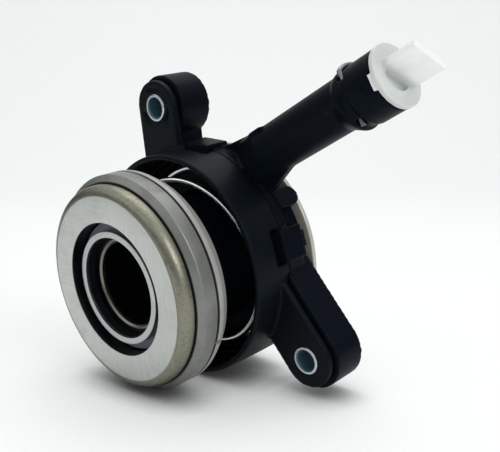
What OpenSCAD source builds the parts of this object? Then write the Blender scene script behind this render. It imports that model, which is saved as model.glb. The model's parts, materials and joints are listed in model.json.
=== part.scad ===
// Concentric slave cylinder: a clutch release bearing on an annular hydraulic piston, in a moulded
// housing with two bolt ears and a long inlet tube. Millimetres. The bore runs along Y and the
// bearing faces -Y; Y = 0 is the rear face of the steel flange, which seats on the gearbox.
// Depths are measured from the bearing's contact face, back along the bore, with the piston run out.

/* [Bore line] */
// Contact face to rear seat, with the piston run out
overall_l = 57.5; // [54:0.5:70]
// Stroke that the piston can be pushed back
travel = 14; // [8:0.5:15]
// Running clearance of a sliding or turning fit, on the radius
running_gap = 0.08; // [0.02:0.01:0.1]
// Clearance between pieces that must not touch
free_gap = 0.3; // [0.2:0.05:0.5]

/* [Contact ring] */
// Bore radius of the ground contact face
face_bore_r = 22.3; // [21.8:0.1:24]
// Outer radius of the flat contact face
face_r = 31; // [30:0.1:32]
// Radius of the rounded edge outside the flat
edge_round = 3.15; // [2:0.05:3.6]
// Depth of the seam between the turning ring and the fixed shell
seam_depth = 4.5; // [4:0.1:5]

/* [Ball row] */
// Ball diameter
ball_d = 6.35; // [5.5:0.05:6.5]
// Number of balls
ball_count = 20; // [12:1:20]
// Radius of the circle of ball centres
pitch_r = 29.5; // [29:0.1:30]
// Depth of the ball centres
row_depth = 8.2; // [8:0.1:8.6]
// Half the distance between the two race faces
race_half_gap = 2; // [1.8:0.1:2.4]
// Play of a ball in its grooves and pocket
ball_play = 0.1; // [0.05:0.01:0.2]
// Thickness of the cage plate
cage_t = 1.8; // [1.2:0.1:2]
// Radial width of the cage plate
cage_w = 8; // [7.4:0.1:8.2]

/* [Bearing shell] */
// Outer radius of the fixed shell
shell_r = 36.8; // [36:0.1:37]
// Wall of the shell
shell_wall = 2.5; // [2:0.1:2.6]
// Length of the shell's chamfered front, along the bore
shell_chamfer = 1.8; // [1:0.1:2.5]
// Depth of the shell's rear edge
shell_rear = 11.6; // [11:0.1:12]
// Depth of the split ring's rear edge
split_ring_rear = 17.2; // [16.8:0.1:18]
// Taper of the split ring towards its rear, on the radius
split_ring_taper = 1.9; // [1:0.1:2.2]
// Gap between the split ring's ends
split_w = 1.4; // [0.8:0.1:3]
// Angle of the split, up from +X
split_angle = -25; // [-180:1:180]
// Length of the front seal on the shell
seal_l = 2.8; // [2:0.1:3.2]
// Thickness of the front seal
seal_t = 0.5; // [0.4:0.05:0.8]
// Reach of the front seal's lip, inwards from the shell
seal_lip = 1.3; // [1:0.1:1.5]

/* [Bearing carrier] */
// Radius on which the fixed race is pressed
carrier_r = 24.9; // [24.5:0.1:25.2]
// Wall of the carrier's tube
carrier_wall = 1.7; // [1.4:0.1:1.8]
// Depth of the carrier's front face
carrier_front = 4.9; // [4.8:0.1:5.2]
// Thickness of the carrier's inner flange
carrier_flange_t = 2.4; // [2:0.1:2.6]
// Outer radius of the spring seat at the carrier's rear
seat_r = 33.2; // [32:0.1:33.6]
// Thickness of the spring seat
seat_t = 1.5; // [1:0.1:2]
// Length of the fixed race along the bore
race_l = 6.3; // [5.5:0.1:6.6]
// Sideways play that lets the bearing centre itself
centring_play = 0.7; // [0.4:0.1:0.7]

/* [Piston] */
// Radius of the piston's nose, inside the retaining ring
nose_r = 17; // [16.8:0.1:17.2]
// Depth of the nose's front end
nose_front = 2.7; // [2.4:0.1:3]
// Radius of the neck that carries the bearing
neck_r = 17.6; // [17.4:0.1:17.8]
// Thickness of the piston's flange
piston_flange_t = 2.5; // [2:0.1:3]
// Length of the lip seal
lip_seal_l = 5; // [4:0.1:5.5]
// Outer radius of the retaining ring
ring_r = 19.2; // [19:0.1:19.6]
// Depth of the retaining ring's front face
ring_front = 1.7; // [1.5:0.1:2.4]
// Free height of the centring spring
centring_h = 0.8; // [0.6:0.1:1]
// Thickness of the centring spring
centring_t = 0.4; // [0.3:0.05:0.5]

/* [Guide sleeve] */
// Inside radius of the guide sleeve
sleeve_bore_r = 14.3; // [13.5:0.1:14.5]
// Wall of the guide sleeve
sleeve_wall = 1.3; // [0.8:0.05:1.4]
// Depth of the sleeve's front end
sleeve_front = 6; // [5:0.5:10]
// Radius of the rear flange
flange_r = 38.5; // [37:0.1:39]
// Thickness of the rear flange
flange_t = 1.8; // [1.2:0.1:2.4]
// Radius of the static seal's circle
static_seal_r = 29; // [28.5:0.1:31]
// Diameter of the static seal's cord
static_seal_d = 2.6; // [2.2:0.1:3]
// Depth of the static seal's groove
static_groove = 1.9; // [1.5:0.1:2.1]

/* [Housing] */
// Radius of the cylinder bore
cylinder_r = 20; // [19.6:0.1:20.4]
// Wall of the cylinder at its front end
cylinder_wall = 2.5; // [2:0.1:2.6]
// Thickening of the cylinder's wall towards its root
cylinder_draft = 0.9; // [0:0.1:1.5]
// Run left over at each end of the cylinder at full stroke
stroke_margin = 1.4; // [1:0.1:2.5]
// Outer radius of the housing's rim
rim_r = 39.6; // [39.2:0.1:40.2]
// Height of the spring's floor above the rear seat
spring_floor_h = 13.5; // [12.5:0.5:14.5]
// Height of the rim's rear edge above the rear seat
rim_rear_h = 7.5; // [6:0.5:9]
// Radius of the housing's back
back_r = 35.2; // [34:0.1:36]
// Height of the spigot that centres the cup
spigot_l = 2.7; // [2:0.1:3.5]
// Wall of the spigot
spigot_wall = 1.4; // [1.1:0.1:1.5]

/* [Spring cup] */
// Height of the cup's front rim above the rear seat
cup_front_h = 30.5; // [28.5:0.5:32.5]
// Height of the cup's rear edge above the rear seat
cup_rear_h = 15.3; // [15:0.1:15.8]
// Wall of the cup
cup_wall = 1.9; // [1.5:0.1:2]
// Draft of the cup's outside, on the radius
cup_draft = 0.4; // [0:0.1:0.8]

/* [Latches] */
// Angle of the first latch, up from +X
latch_angle = 12.5; // [0:0.5:20]
// Angle between latches
latch_pitch = 72; // [70:1:74]
// Width of a latch
latch_w = 11; // [8:0.5:12]
// Height of the front edge of a latch's window
window_front_h = 20.3; // [19.8:0.1:21]
// Height of a latch's front edge above the rear seat
latch_front_h = 17.9; // [17.2:0.1:18.4]
// Height of a latch above the rim
latch_h = 1.7; // [1:0.1:2.5]
// Angle of the tongue that keeps the steel flange, up from +X
tongue_angle = 34; // [30:0.5:38]
// Width of the tongue
tongue_w = 6.8; // [6:0.2:10]
// Height of the tongue's round end above the rear seat
tongue_rear_h = 2.3; // [1.5:0.1:3.5]

/* [Bolt ears] */
// Radius at which the bolts stand from the bore
bolt_r = 55; // [53:0.5:58]
// Angle of the upper bolt, up from +X
upper_angle = 103.5; // [100:0.5:108]
// Angle of the lower bolt, up from +X
lower_angle = -31; // [-36:0.5:-28]
// Direction in which the upper ear runs out
upper_run = 90; // [86:0.5:100]
// Direction in which the lower ear runs out
lower_run = -52.5; // [-58:0.5:-48]
// Radius of the round end of an ear's plate
plate_end_r = 9.4; // [9:0.1:10]
// Step from the plate out to the slab behind it
slab_step = 1.5; // [0.3:0.1:2]
// Width of the upper ear's slab between its boss and the housing
upper_web_w = 11; // [9:0.5:18]
// Height of the ears' front faces above the rear seat
ear_front_h = 19.9; // [19.5:0.1:21.5]
// Thickness of an ear's plate
plate_t = 2.6; // [2:0.1:3]
// Groove between plate and slab
plate_gap = 0.6; // [0.4:0.1:1]
// Height of the ears' rear faces above the rear seat
ear_rear_h = 4; // [3.5:0.5:7]
// Outer radius of a bush
bush_r = 4.75; // [4.5:0.05:5]
// Hole radius of a bush
bush_hole_r = 3.5; // [3.2:0.05:3.6]
// How far a bush stands out of the ear at each end
bush_stand = 0.3; // [0.1:0.1:0.8]
// Length of an ear, from its bolt in towards the housing
ear_l = 36; // [30:1:40]

/* [Inlet tube] */
// Direction of the tube, up from +X
inlet_angle = 26; // [22:0.5:30]
// Distance of the tube's line from the bore
inlet_offset = 19.4; // [18.5:0.1:22]
// Height of the tube's line above the rear seat
inlet_h = 12.5; // [11.5:0.1:13.5]
// Outer radius of the tube
tube_r = 8; // [7.5:0.1:9]
// Rise of the tube's own centre above its passage
tube_rise = 0.8; // [0:0.1:1.2]
// Length from the foot of the tube's line to its mouth
tube_l = 98.8; // [90:0.1:110]
// Radius of the head
head_r = 9.5; // [9.3:0.1:11]
// Length of the head's socket part
socket_l = 9.8; // [8:0.1:12]
// Width of the clip groove
clip_groove_w = 3; // [2.6:0.1:3.6]
// Radius of the head in the clip groove
clip_groove_r = 8.8; // [8.4:0.1:9]
// Length of the collar behind the clip groove
collar_l = 1; // [0.8:0.1:4]
// Length of the cone from the tube up to the collar
shoulder_l = 6; // [4:0.5:8]
// Socket radius
socket_r = 6.2; // [5.8:0.1:6.4]
// Depth of the socket from its mouth
socket_depth = 18; // [16:0.5:22]
// Radius of the fluid passage
passage_r = 2; // [1.5:0.1:2.2]
// Width of the key groove in the socket's front
key_w = 5.4; // [4:0.1:6]
// Length of the key groove from the mouth
key_l = 4.4; // [3:0.1:6]
// Length of the notch where the groove breaks through at the mouth
key_notch_l = 1.2; // [0.8:0.1:3]

/* [Connector] */
// Wire diameter of the connector clip
clip_wire_d = 1.6; // [1.2:0.1:1.8]
// Half the distance between the clip's legs
clip_leg_y = 5.2; // [5:0.1:5.6]
// Lift that frees the clip
clip_lift = 3.5; // [2:0.1:4]
// Radius of the dust cap's flange
cap_r = 9.7; // [9:0.1:12.5]
// Thickness of the dust cap's flange
cap_t = 1.5; // [1:0.1:2]
// Length of the dust cap's plug
cap_plug_l = 7; // [5:0.5:8]
// Wall of the dust cap's plug
cap_wall = 1.2; // [0.8:0.1:1.6]
// Depth of the dish in the dust cap's outer face
cap_dish = 2.5; // [1:0.1:4]
// Length of the dust cap's grip across the flange
grip_l = 12.2; // [10.5:0.1:18]
// Height of the dust cap's grip
grip_h = 11.5; // [6:0.5:12]
// Thickness of the dust cap's grip
grip_t = 2.4; // [1.2:0.1:2.4]
// Turn of the grip about the tube's line
grip_turn = -40; // [-90:5:90]

/* [Preload spring] */
// Wire diameter of the preload spring
spring_wire_d = 2.2; // [1.6:0.1:2.4]
// Coil radius at the bearing
spring_front_r = 27.6; // [27:0.1:29]
// Coil radius at the housing
spring_rear_r = 32; // [30:0.1:34]
// Open turns between the two closed ends
spring_turns = 1.3; // [1.2:0.1:2.4]
// Closed part of each end, in turns
spring_end_turns = 0.8; // [0.6:0.05:0.9]
// Angle at which the front end starts, up from +X
spring_start = 256; // [0:1:360]

/* [Hidden] */
round_fn = 96;
small_fn = 32;
through = 1;
moulding = [0.10, 0.11, 0.13];
steel = [0.72, 0.73, 0.72];
rubber = [0.13, 0.13, 0.14];

// Clearances in the bearing
shell_seam = 0.4;
carrier_clear = 0.4;
step_clear = 0.5;
skirt_clear = 0.7;
seal_clear = 0.35;
// Small edge breaks
face_chamfer = 0.4;
ring_chamfer = 0.3;
rim_chamfer = 0.4;
sleeve_chamfer = 0.6;
nose_chamfer = 2;
nose_land = 0.3;
shell_lip = 0.3;
lip_w = 0.8;
split_ring_band = 2;
latch_heel = 2.3;
latch_end = 0.6;
hook_l = 1;
tongue_h = 1.4;
notch_l = 4.6;
notch_floor = 0.6;
gusset_s = 56;
gusset_l = 12;
gusset_h = 1.9;
gusset_t = 3;
// Flat-faced block at the tube's root
root_from = 25;
root_to = 52;
root_blend = 6;
root_front = 6;
root_back = 4;
key_depth = 0.5;
bite = 1;
clip_hold = 0.8;
drilling_r = 1.6;
drilling_wall = 1.2;
floor_wall = 1.4;
channel_w = 2.2;
recess_depth = 1;
recess_in = 1.2;
recess_out = 2.3;
recess_from = 70;
recess_span = 50;
recess_count = 3;
wire_sides = 10;
rings_per_turn = 28;

spring_floor = overall_l - spring_floor_h;
rim_rear = overall_l - rim_rear_h;
cup_front = overall_l - cup_front_h;
cup_rear = overall_l - cup_rear_h;
window_front = overall_l - window_front_h;
latch_front = overall_l - latch_front_h;
tongue_rear = overall_l - tongue_rear_h;
ear_front = overall_l - ear_front_h;
ear_rear = overall_l - ear_rear_h;
inlet_depth = overall_l - inlet_h;
contact_r = face_r + edge_round;
ball_r = ball_d / 2;
contact_rear = row_depth - race_half_gap;
race_front = row_depth + race_half_gap;
race_rear = race_front + race_l;
shell_in_r = shell_r - shell_wall;
shell_front = seam_depth + free_gap;
split_ring_front = shell_rear + shell_seam;
carrier_in_r = carrier_r - carrier_wall;
carrier_lip_r = face_bore_r - carrier_clear;
carrier_bore_r = neck_r + centring_play;
carrier_step = contact_rear + step_clear;
carrier_pocket = carrier_front + carrier_flange_t;
seat_rear = race_rear + seat_t;
ring_rear = carrier_front - free_gap;
piston_flange_front = carrier_pocket + centring_h;
piston_flange_rear = piston_flange_front + piston_flange_t;
piston_flange_r = carrier_in_r - centring_play;
cylinder_front = piston_flange_rear + travel + stroke_margin;
piston_r = cylinder_r - running_gap;
sleeve_r = sleeve_bore_r + sleeve_wall;
piston_bore_r = sleeve_r + running_gap;
housing_rear = overall_l - flange_t;
piston_rear = housing_rear - travel - 2 * stroke_margin - lip_seal_l;
cup_r = rim_r - cup_draft;
cup_in_r = cup_r - cup_wall;
spigot_r = cup_in_r - running_gap;
slab_front = ear_front + plate_t + plate_gap;
boss_r = plate_end_r + slab_step;
latch_angles = [for (i = [0 : 3]) latch_angle + i * latch_pitch];
upper_bolt = bolt_r * [cos(upper_angle), sin(upper_angle)];
lower_bolt = bolt_r * [cos(lower_angle), sin(lower_angle)];
clip_s = tube_l - socket_l - clip_groove_w / 2;
// The legs still cross the socket's lower wall when the clip is lifted
clip_leg_l = sqrt(pow(socket_r + free_gap, 2) - pow(clip_leg_y, 2)) + clip_lift + clip_hold;
contact_skirt_r = shell_in_r - skirt_clear;
seal_front = contact_rear + seal_clear;
tongue_front = spring_floor + bite;
// The rim is notched between the first latch and the tongue
notch_from = latch_angle + asin(latch_w / 2 / rim_r);
notch_to = tongue_angle - asin(tongue_w / 2 / rim_r);
notch_w = 2 * rim_r * sin((notch_to - notch_from) / 2) + bite;
socket_s = tube_l - socket_l;
groove_s = socket_s - clip_groove_w;
collar_s = groove_s - collar_l;
shoulder_s = collar_s - shoulder_l;
static_w = static_seal_d + 2 * free_gap;
clip_slot = clip_wire_d + 2 * free_gap;
drilling_at = cylinder_r + passage_r + drilling_wall;
passage_end = sqrt(pow(drilling_at, 2) - pow(inlet_offset, 2));
// The passage runs behind the tube's centre, so that it stays closed under the spring's floor
passage_drop = passage_r + floor_wall - (inlet_depth - spring_floor);

// Place along Y of a depth behind the contact face
function at(depth) = depth - overall_l;

// Solid of revolution about the bore, from a half section drawn as [radius, Y]
module revolve() rotate([-90, 0, 0]) rotate_extrude($fn = round_fn) children();

// Half section from points given as [radius, depth]
module section(points) polygon([for (p = points) [p[0], at(p[1])]]);

// Prism across the bore from an outline drawn as [X, Z], between two depths
module slab(front, rear) translate([0, at(rear), 0]) rotate([90, 0, 0])
    linear_extrude(rear - front) children();

// Round bar along the bore, between two depths
module bar(r, front, rear) translate([0, at(front), 0]) rotate([-90, 0, 0])
    cylinder(r = r, h = rear - front, $fn = round_fn);

// Frame of a place on the rim: X points outwards, Y along the bore, Z around it
module around(angle) rotate([0, -angle, 0]) children();

// Frame of the inlet tube: X along the tube, Z away from the bore
module inlet() translate([0, at(inlet_depth), 0]) rotate([0, -inlet_angle, 0])
    translate([0, 0, inlet_offset]) children();

// Round piece on the inlet tube's line, from one place along it to another
module along(r1, r2, from, to) translate([from, 0, 0]) rotate([0, 90, 0])
    cylinder(r1 = r1, r2 = r2, h = to - from, $fn = round_fn);

// Ear outline: a round end at the bolt and a web that runs back to the housing
module ear(bolt, run, end_r, web_w) translate(bolt) {
    circle(end_r, $fn = round_fn);
    rotate(run) translate([-ear_l, -web_w / 2]) square([ear_l, web_w]);
}

// Part of a ring between two angles, as an outline
module ring_part(r_in, r_out, from, to) rotate(from) difference() {
    intersection() {
        circle(r_out, $fn = round_fn);
        polygon([[0, 0], 2 * r_out * [1, 0], 2 * r_out * [cos((to - from) / 2), sin((to - from) / 2)],
                 2 * r_out * [cos(to - from), sin(to - from)]]);
    }
    circle(r_in, $fn = round_fn);
}

// Space in front of the housing that belongs to the cup's wall and to the spring
module cup_space() {
    bar(rim_r + running_gap, 0, cup_rear);
    bar(spigot_r - spigot_wall, 0, spring_floor);
}

// Latch arm that reaches over the cup's edge and hooks into its window
module latch() {
    translate([back_r - bite, at(latch_front), -latch_w / 2])
        cube([rim_r + latch_h - back_r + bite, rim_rear - latch_front - latch_end, latch_w]);
    translate([back_r - bite, at(rim_rear) - bite, -latch_w / 4])
        cube([rim_r - back_r + bite, latch_heel + bite, latch_w / 2]);
}

// Hook at the front of a latch arm
module latch_hook() translate([cup_in_r + free_gap, at(latch_front), -latch_w / 2])
    cube([rim_r + latch_h / 2 - cup_in_r, hook_l, latch_w]);

// Round-ended tongue beside the steel flange
module tongue() translate([back_r - bite, 0, 0]) rotate([0, 90, 0])
    linear_extrude(rim_r + tongue_h - back_r + bite) {
        translate([0, at(tongue_rear) - tongue_w / 2]) circle(tongue_w / 2, $fn = small_fn);
        translate([-tongue_w / 2, at(tongue_front)])
            square([tongue_w, tongue_rear - tongue_front - tongue_w / 2]);
    }

// Block at the tube's root, with a flat front from which the round tube emerges
module tube_root() translate([0, root_back, 0]) rotate([90, 0, 0])
    linear_extrude(root_front + root_back) polygon([
        [root_from, 0], [root_to - 2 * root_blend, 0], [root_to - root_blend, tube_r - 2 * tube_rise],
        [root_to, tube_r + tube_rise / 4], [root_from, tube_r + tube_rise / 4]]);

// Solid parts of the housing before its passages are cut
module housing_body() {
    difference() {
        revolve() section([
            [cylinder_r, cylinder_front], [cylinder_r + cylinder_wall, cylinder_front],
            [cylinder_r + cylinder_wall + cylinder_draft, spring_floor],
            [spigot_r - spigot_wall, spring_floor], [spigot_r - spigot_wall, cup_rear - spigot_l],
            [spigot_r, cup_rear - spigot_l], [spigot_r, cup_rear], [rim_r, cup_rear], [rim_r, rim_rear],
            [back_r, rim_rear], [back_r, housing_rear], [cylinder_r, housing_rear]]);
        around((notch_from + notch_to) / 2)
            translate([back_r + notch_floor, at(rim_rear) - notch_l, -notch_w / 2])
                cube([rim_r, notch_l + through, notch_w]);
    }
    difference() {
        union() {
            slab(slab_front, ear_rear) {
                ear(upper_bolt, upper_run, boss_r, upper_web_w);
                ear(lower_bolt, lower_run, boss_r, 2 * boss_r);
            }
            for (angle = latch_angles) around(angle) latch();
            inlet() {
                translate([0, 0, tube_rise]) along(tube_r, tube_r, 0, collar_s - bite);
                rotate([90, 0, 0]) linear_extrude(gusset_t, center = true) polygon([
                    [gusset_s, -tube_r + 2 * bite], [gusset_s - gusset_l, -tube_r - gusset_h],
                    [gusset_s - 2 * gusset_l, -tube_r - 3 * gusset_h], [gusset_s - 3 * gusset_l, 0]]);
                tube_root();
                along(tube_r - 2 * tube_rise, head_r, shoulder_s, collar_s);
                along(head_r, head_r, collar_s, groove_s);
                along(clip_groove_r, clip_groove_r, groove_s, socket_s);
                along(head_r, head_r, socket_s, tube_l);
            }
        }
        cup_space();
    }
    for (angle = latch_angles) around(angle) latch_hook();
    around(tongue_angle) tongue();
}

module housing() color(moulding) difference() {
    housing_body();
    bar(cylinder_r, cylinder_front - through, housing_rear + through);
    revolve() section([
        [static_seal_r - static_w / 2, housing_rear - static_groove],
        [static_seal_r + static_w / 2, housing_rear - static_groove],
        [static_seal_r + static_w / 2, housing_rear + through],
        [static_seal_r - static_w / 2, housing_rear + through]]);
    for (bolt = [upper_bolt, lower_bolt]) translate([bolt[0], 0, bolt[1]])
        bar(bush_r, slab_front - through, ear_rear + through);
    inlet() {
        translate([0, passage_drop, 0]) along(passage_r, passage_r, passage_end, tube_l);
        along(socket_r, socket_r, tube_l - socket_depth, tube_l + through);
        for (side = [-1, 1])
            translate([clip_s - clip_slot / 2, side * clip_leg_y - clip_slot / 2, -2 * head_r])
                cube([clip_slot, clip_slot, 4 * head_r]);
        translate([tube_l - key_l, -2 * head_r, -key_w / 2])
            cube([key_l + through, head_r + key_depth, key_w]);
        translate([tube_l - key_notch_l, -2 * head_r, -key_w / 2])
            cube([key_notch_l + through, 2 * head_r, key_w]);
        translate([passage_end, passage_drop, 0]) rotate([-90, 0, 0])
            cylinder(r = drilling_r, h = housing_rear - inlet_depth - passage_drop + through, $fn = small_fn);
    }
    around(inlet_angle + atan2(inlet_offset, passage_end))
        translate([cylinder_r - through, at(housing_rear) - channel_w, -channel_w / 2])
            cube([drilling_at - cylinder_r + through, channel_w + through, channel_w]);
}

module spring_cup() color(moulding) difference() {
    union() {
        revolve() section([
            [cup_in_r, cup_front + rim_chamfer], [cup_in_r + rim_chamfer, cup_front],
            [cup_r - rim_chamfer, cup_front], [cup_r, cup_front + rim_chamfer], [rim_r, cup_rear],
            [cup_in_r, cup_rear]]);
        difference() {
            slab(ear_front, ear_front + plate_t) {
                ear(upper_bolt, upper_run, plate_end_r, 2 * plate_end_r);
                ear(lower_bolt, lower_run, plate_end_r, 2 * plate_end_r);
            }
            bar(cup_in_r, 0, overall_l);
        }
    }
    for (bolt = [upper_bolt, lower_bolt]) translate([bolt[0], 0, bolt[1]]) bar(bush_r, 0, ear_rear);
    for (angle = latch_angles) around(angle)
        translate([cup_in_r - through, at(window_front), -latch_w / 2 - free_gap])
            cube([2 * cup_wall + through, latch_front + hook_l + free_gap - window_front,
                  latch_w + 2 * free_gap]);
    slab(ear_front - through, ear_front + recess_depth) translate(upper_bolt)
        for (i = [0 : recess_count - 1]) rotate(i * 360 / recess_count)
            ring_part(bush_r + recess_in, bush_r + recess_out, recess_from, recess_from + recess_span);
}

// Steel sleeve in an ear that takes the bolt's clamping load
module bush(bolt) color(steel) translate([bolt[0], 0, bolt[1]]) difference() {
    bar(bush_r, ear_front - bush_stand, ear_rear + bush_stand);
    bar(bush_hole_r, 0, overall_l);
}

module upper_bush() bush(upper_bolt);

module lower_bush() bush(lower_bolt);

module guide_sleeve() color(steel) revolve() section([
    [sleeve_bore_r, sleeve_front + sleeve_chamfer], [sleeve_bore_r + sleeve_chamfer, sleeve_front],
    [sleeve_r, sleeve_front], [sleeve_r, housing_rear], [flange_r, housing_rear],
    [flange_r, overall_l], [sleeve_bore_r, overall_l]]);

module static_seal() color(rubber) revolve() intersection() {
    translate([static_seal_r, at(housing_rear - static_groove / 2)])
        circle(static_seal_d / 2, $fn = small_fn);
    section([
        [static_seal_r - static_seal_d, housing_rear - static_groove],
        [static_seal_r + static_seal_d, housing_rear - static_groove],
        [static_seal_r + static_seal_d, housing_rear], [static_seal_r - static_seal_d, housing_rear]]);
}

// Share of the spring's open turns that lies before a place along the wire, in turns from the front end
function open_share(u) = min(1, max(0, (u - spring_end_turns) / spring_turns));

// Ring of points round the spring's wire, at a place along it
function wire_ring(u) = let (
        a = spring_start - 360 * u,
        r = spring_front_r + (spring_rear_r - spring_front_r) * open_share(u),
        depth = seat_rear + spring_wire_d / 2 + (spring_floor - seat_rear - spring_wire_d) * open_share(u))
    [for (j = [0 : wire_sides - 1]) let (t = 360 * j / wire_sides, q = r + spring_wire_d / 2 * cos(t))
        [q * cos(a), at(depth) + spring_wire_d / 2 * sin(t), q * sin(a)]];

module preload_spring() {
    turns = spring_turns + 2 * spring_end_turns;
    rings = ceil(turns * rings_per_turn);
    points = [for (i = [0 : rings]) each wire_ring(i * turns / rings)];
    last = rings * wire_sides;
    color(steel) polyhedron(points, concat(
        [[for (j = [wire_sides - 1 : -1 : 0]) j]],
        [for (i = [0 : rings - 1], j = [0 : wire_sides - 1])
            let (a = i * wire_sides, k = (j + 1) % wire_sides)
                [a + j, a + k, a + wire_sides + k, a + wire_sides + j]],
        [[for (j = [0 : wire_sides - 1]) last + j]]));
}

module piston() color([0.18, 0.19, 0.22]) revolve() section([
    [piston_bore_r, nose_front + nose_chamfer], [nose_r - nose_land, nose_front], [nose_r, nose_front],
    [nose_r, ring_rear], [neck_r, ring_rear], [neck_r, piston_flange_front],
    [piston_flange_r, piston_flange_front], [piston_flange_r, piston_flange_rear],
    [piston_r, piston_flange_rear], [piston_r, piston_rear], [piston_bore_r, piston_rear]]);

module piston_lip_seal() color(rubber) revolve() section([
    [piston_bore_r, piston_rear], [piston_r, piston_rear], [piston_r, piston_rear + lip_seal_l - lip_w / 2],
    [piston_r - lip_w, piston_rear + lip_seal_l], [piston_r - 2 * lip_w, piston_rear + lip_seal_l / 2],
    [piston_bore_r + 2 * lip_w, piston_rear + lip_seal_l / 2],
    [piston_bore_r + lip_w, piston_rear + lip_seal_l],
    [piston_bore_r, piston_rear + lip_seal_l - lip_w / 2]]);

module retaining_ring() color(steel) revolve() section([
    [nose_r, ring_front + ring_chamfer], [nose_r + ring_chamfer, ring_front],
    [ring_r - ring_chamfer, ring_front], [ring_r, ring_front + ring_chamfer], [ring_r, ring_rear],
    [nose_r, ring_rear]]);

// Slightly coned spring washer that presses the carrier against the retaining ring
module centring_spring() color(steel) revolve() section([
    [carrier_bore_r, carrier_pocket], [carrier_bore_r, carrier_pocket + centring_t],
    [piston_flange_r - free_gap, piston_flange_front],
    [piston_flange_r - free_gap, piston_flange_front - centring_t]]);

module bearing_carrier() color([0.14, 0.15, 0.18]) revolve() section([
    [carrier_bore_r, carrier_front], [carrier_lip_r, carrier_front], [carrier_lip_r, carrier_step],
    [carrier_r, carrier_step], [carrier_r, race_rear], [seat_r, race_rear], [seat_r, seat_rear],
    [carrier_in_r, seat_rear], [carrier_in_r, carrier_pocket], [carrier_bore_r, carrier_pocket]]);

// Half section of the groove in which the balls run
module ball_groove() translate([pitch_r, at(row_depth)]) circle(ball_r + ball_play, $fn = round_fn);

module bearing_race() color(steel) revolve() difference() {
    section([
        [carrier_r, race_front], [shell_in_r, race_front], [shell_in_r, race_rear], [carrier_r, race_rear]]);
    ball_groove();
}

module bearing_shell() color([0.62, 0.63, 0.62]) revolve() section([
    [shell_in_r, shell_front], [shell_in_r + shell_lip, shell_front], [shell_r, shell_front + shell_chamfer],
    [shell_r, shell_rear], [shell_in_r, shell_rear]]);

module bearing_split_ring() color([0.7, 0.7, 0.68]) difference() {
    revolve() section([
        [shell_in_r, split_ring_front], [shell_r, split_ring_front],
        [shell_r, split_ring_front + split_ring_band], [shell_r - split_ring_taper, split_ring_rear],
        [shell_in_r, split_ring_rear]]);
    around(split_angle) translate([0, at(split_ring_front) - through, -split_w / 2])
        cube([2 * shell_r, split_ring_rear, split_w]);
}

module bearing_front_seal() color(rubber) revolve() section([
    [shell_in_r - seal_lip, seal_front], [shell_in_r, seal_front], [shell_in_r, seal_front + seal_l],
    [shell_in_r - seal_t, seal_front + seal_l], [shell_in_r - seal_t, seal_front + seal_t],
    [shell_in_r - seal_lip, seal_front + seal_t]]);

// Places of the balls, round the bore
module ball_places() for (i = [0 : ball_count - 1]) around(i * 360 / ball_count)
    translate([pitch_r, at(row_depth), 0]) children();

module bearing_balls() color(steel) ball_places() sphere(ball_r, $fn = small_fn);

module bearing_cage() color([0.25, 0.22, 0.18]) difference() {
    revolve() section([
        [pitch_r - cage_w / 2, row_depth - cage_t / 2], [pitch_r + cage_w / 2, row_depth - cage_t / 2],
        [pitch_r + cage_w / 2, row_depth + cage_t / 2], [pitch_r - cage_w / 2, row_depth + cage_t / 2]]);
    ball_places() rotate([90, 0, 0])
        cylinder(r = ball_r + ball_play, h = 2 * cage_t, center = true, $fn = small_fn);
}

module bearing_contact_ring() color([0.78, 0.78, 0.76]) revolve() difference() {
    union() {
        section([
            [face_bore_r, face_chamfer], [face_bore_r + face_chamfer, 0], [face_r, 0], [face_r, edge_round],
            [contact_r, edge_round], [contact_r, seam_depth], [contact_skirt_r, seam_depth],
            [contact_skirt_r, contact_rear], [face_bore_r, contact_rear]]);
        intersection() {
            translate([face_r, at(edge_round)]) circle(edge_round, $fn = round_fn);
            section([[face_r, 0], [contact_r, 0], [contact_r, edge_round], [face_r, edge_round]]);
        }
    }
    ball_groove();
}

module connector_clip() color(steel) inlet() translate([clip_s, 0, 0]) {
    bow_r = clip_groove_r + free_gap + clip_wire_d / 2;
    corner = [0, clip_leg_y, sqrt(bow_r * bow_r - clip_leg_y * clip_leg_y)];
    half_bow = asin(clip_leg_y / bow_r);
    rotate([0, 90, 0]) rotate(180 - half_bow)
        rotate_extrude(angle = 2 * half_bow, $fn = round_fn) translate([bow_r, 0])
            circle(clip_wire_d / 2, $fn = small_fn);
    for (side = [-1, 1]) {
        translate([0, side * corner[1], corner[2]]) sphere(clip_wire_d / 2, $fn = small_fn);
        translate([0, side * corner[1], -clip_leg_l])
            cylinder(d = clip_wire_d, h = corner[2] + clip_leg_l, $fn = small_fn);
    }
}

module dust_cap() color([0.92, 0.93, 0.93]) inlet() {
    plug_r = socket_r - free_gap;
    flange_s = tube_l + free_gap;
    dish_r = plug_r - cap_wall;
    face_s = flange_s + cap_t;
    dish_s = face_s - cap_dish;
    difference() {
        union() {
            along(plug_r, plug_r, tube_l - cap_plug_l, flange_s + cap_t / 2);
            along(cap_r, cap_r, flange_s, face_s);
        }
        along(dish_r, dish_r, dish_s, face_s + through);
        along(dish_r, dish_r, tube_l - cap_plug_l - through, dish_s - cap_wall);
    }
    translate([tube_l - key_notch_l + free_gap, -head_r, free_gap - key_w / 2])
        cube([key_notch_l + cap_t / 2, head_r - dish_r, key_w - 2 * free_gap]);
    rotate([grip_turn, 0, 0]) {
        translate([flange_s + cap_t / 2, -grip_l / 2, -grip_t / 2])
            cube([cap_t / 2 + grip_h, grip_l, grip_t]);
        translate([dish_s - cap_wall / 2, -dish_r - cap_wall / 2, -grip_t / 4])
            cube([cap_dish, 2 * dish_r + cap_wall, grip_t / 2]);
    }
}

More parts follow.
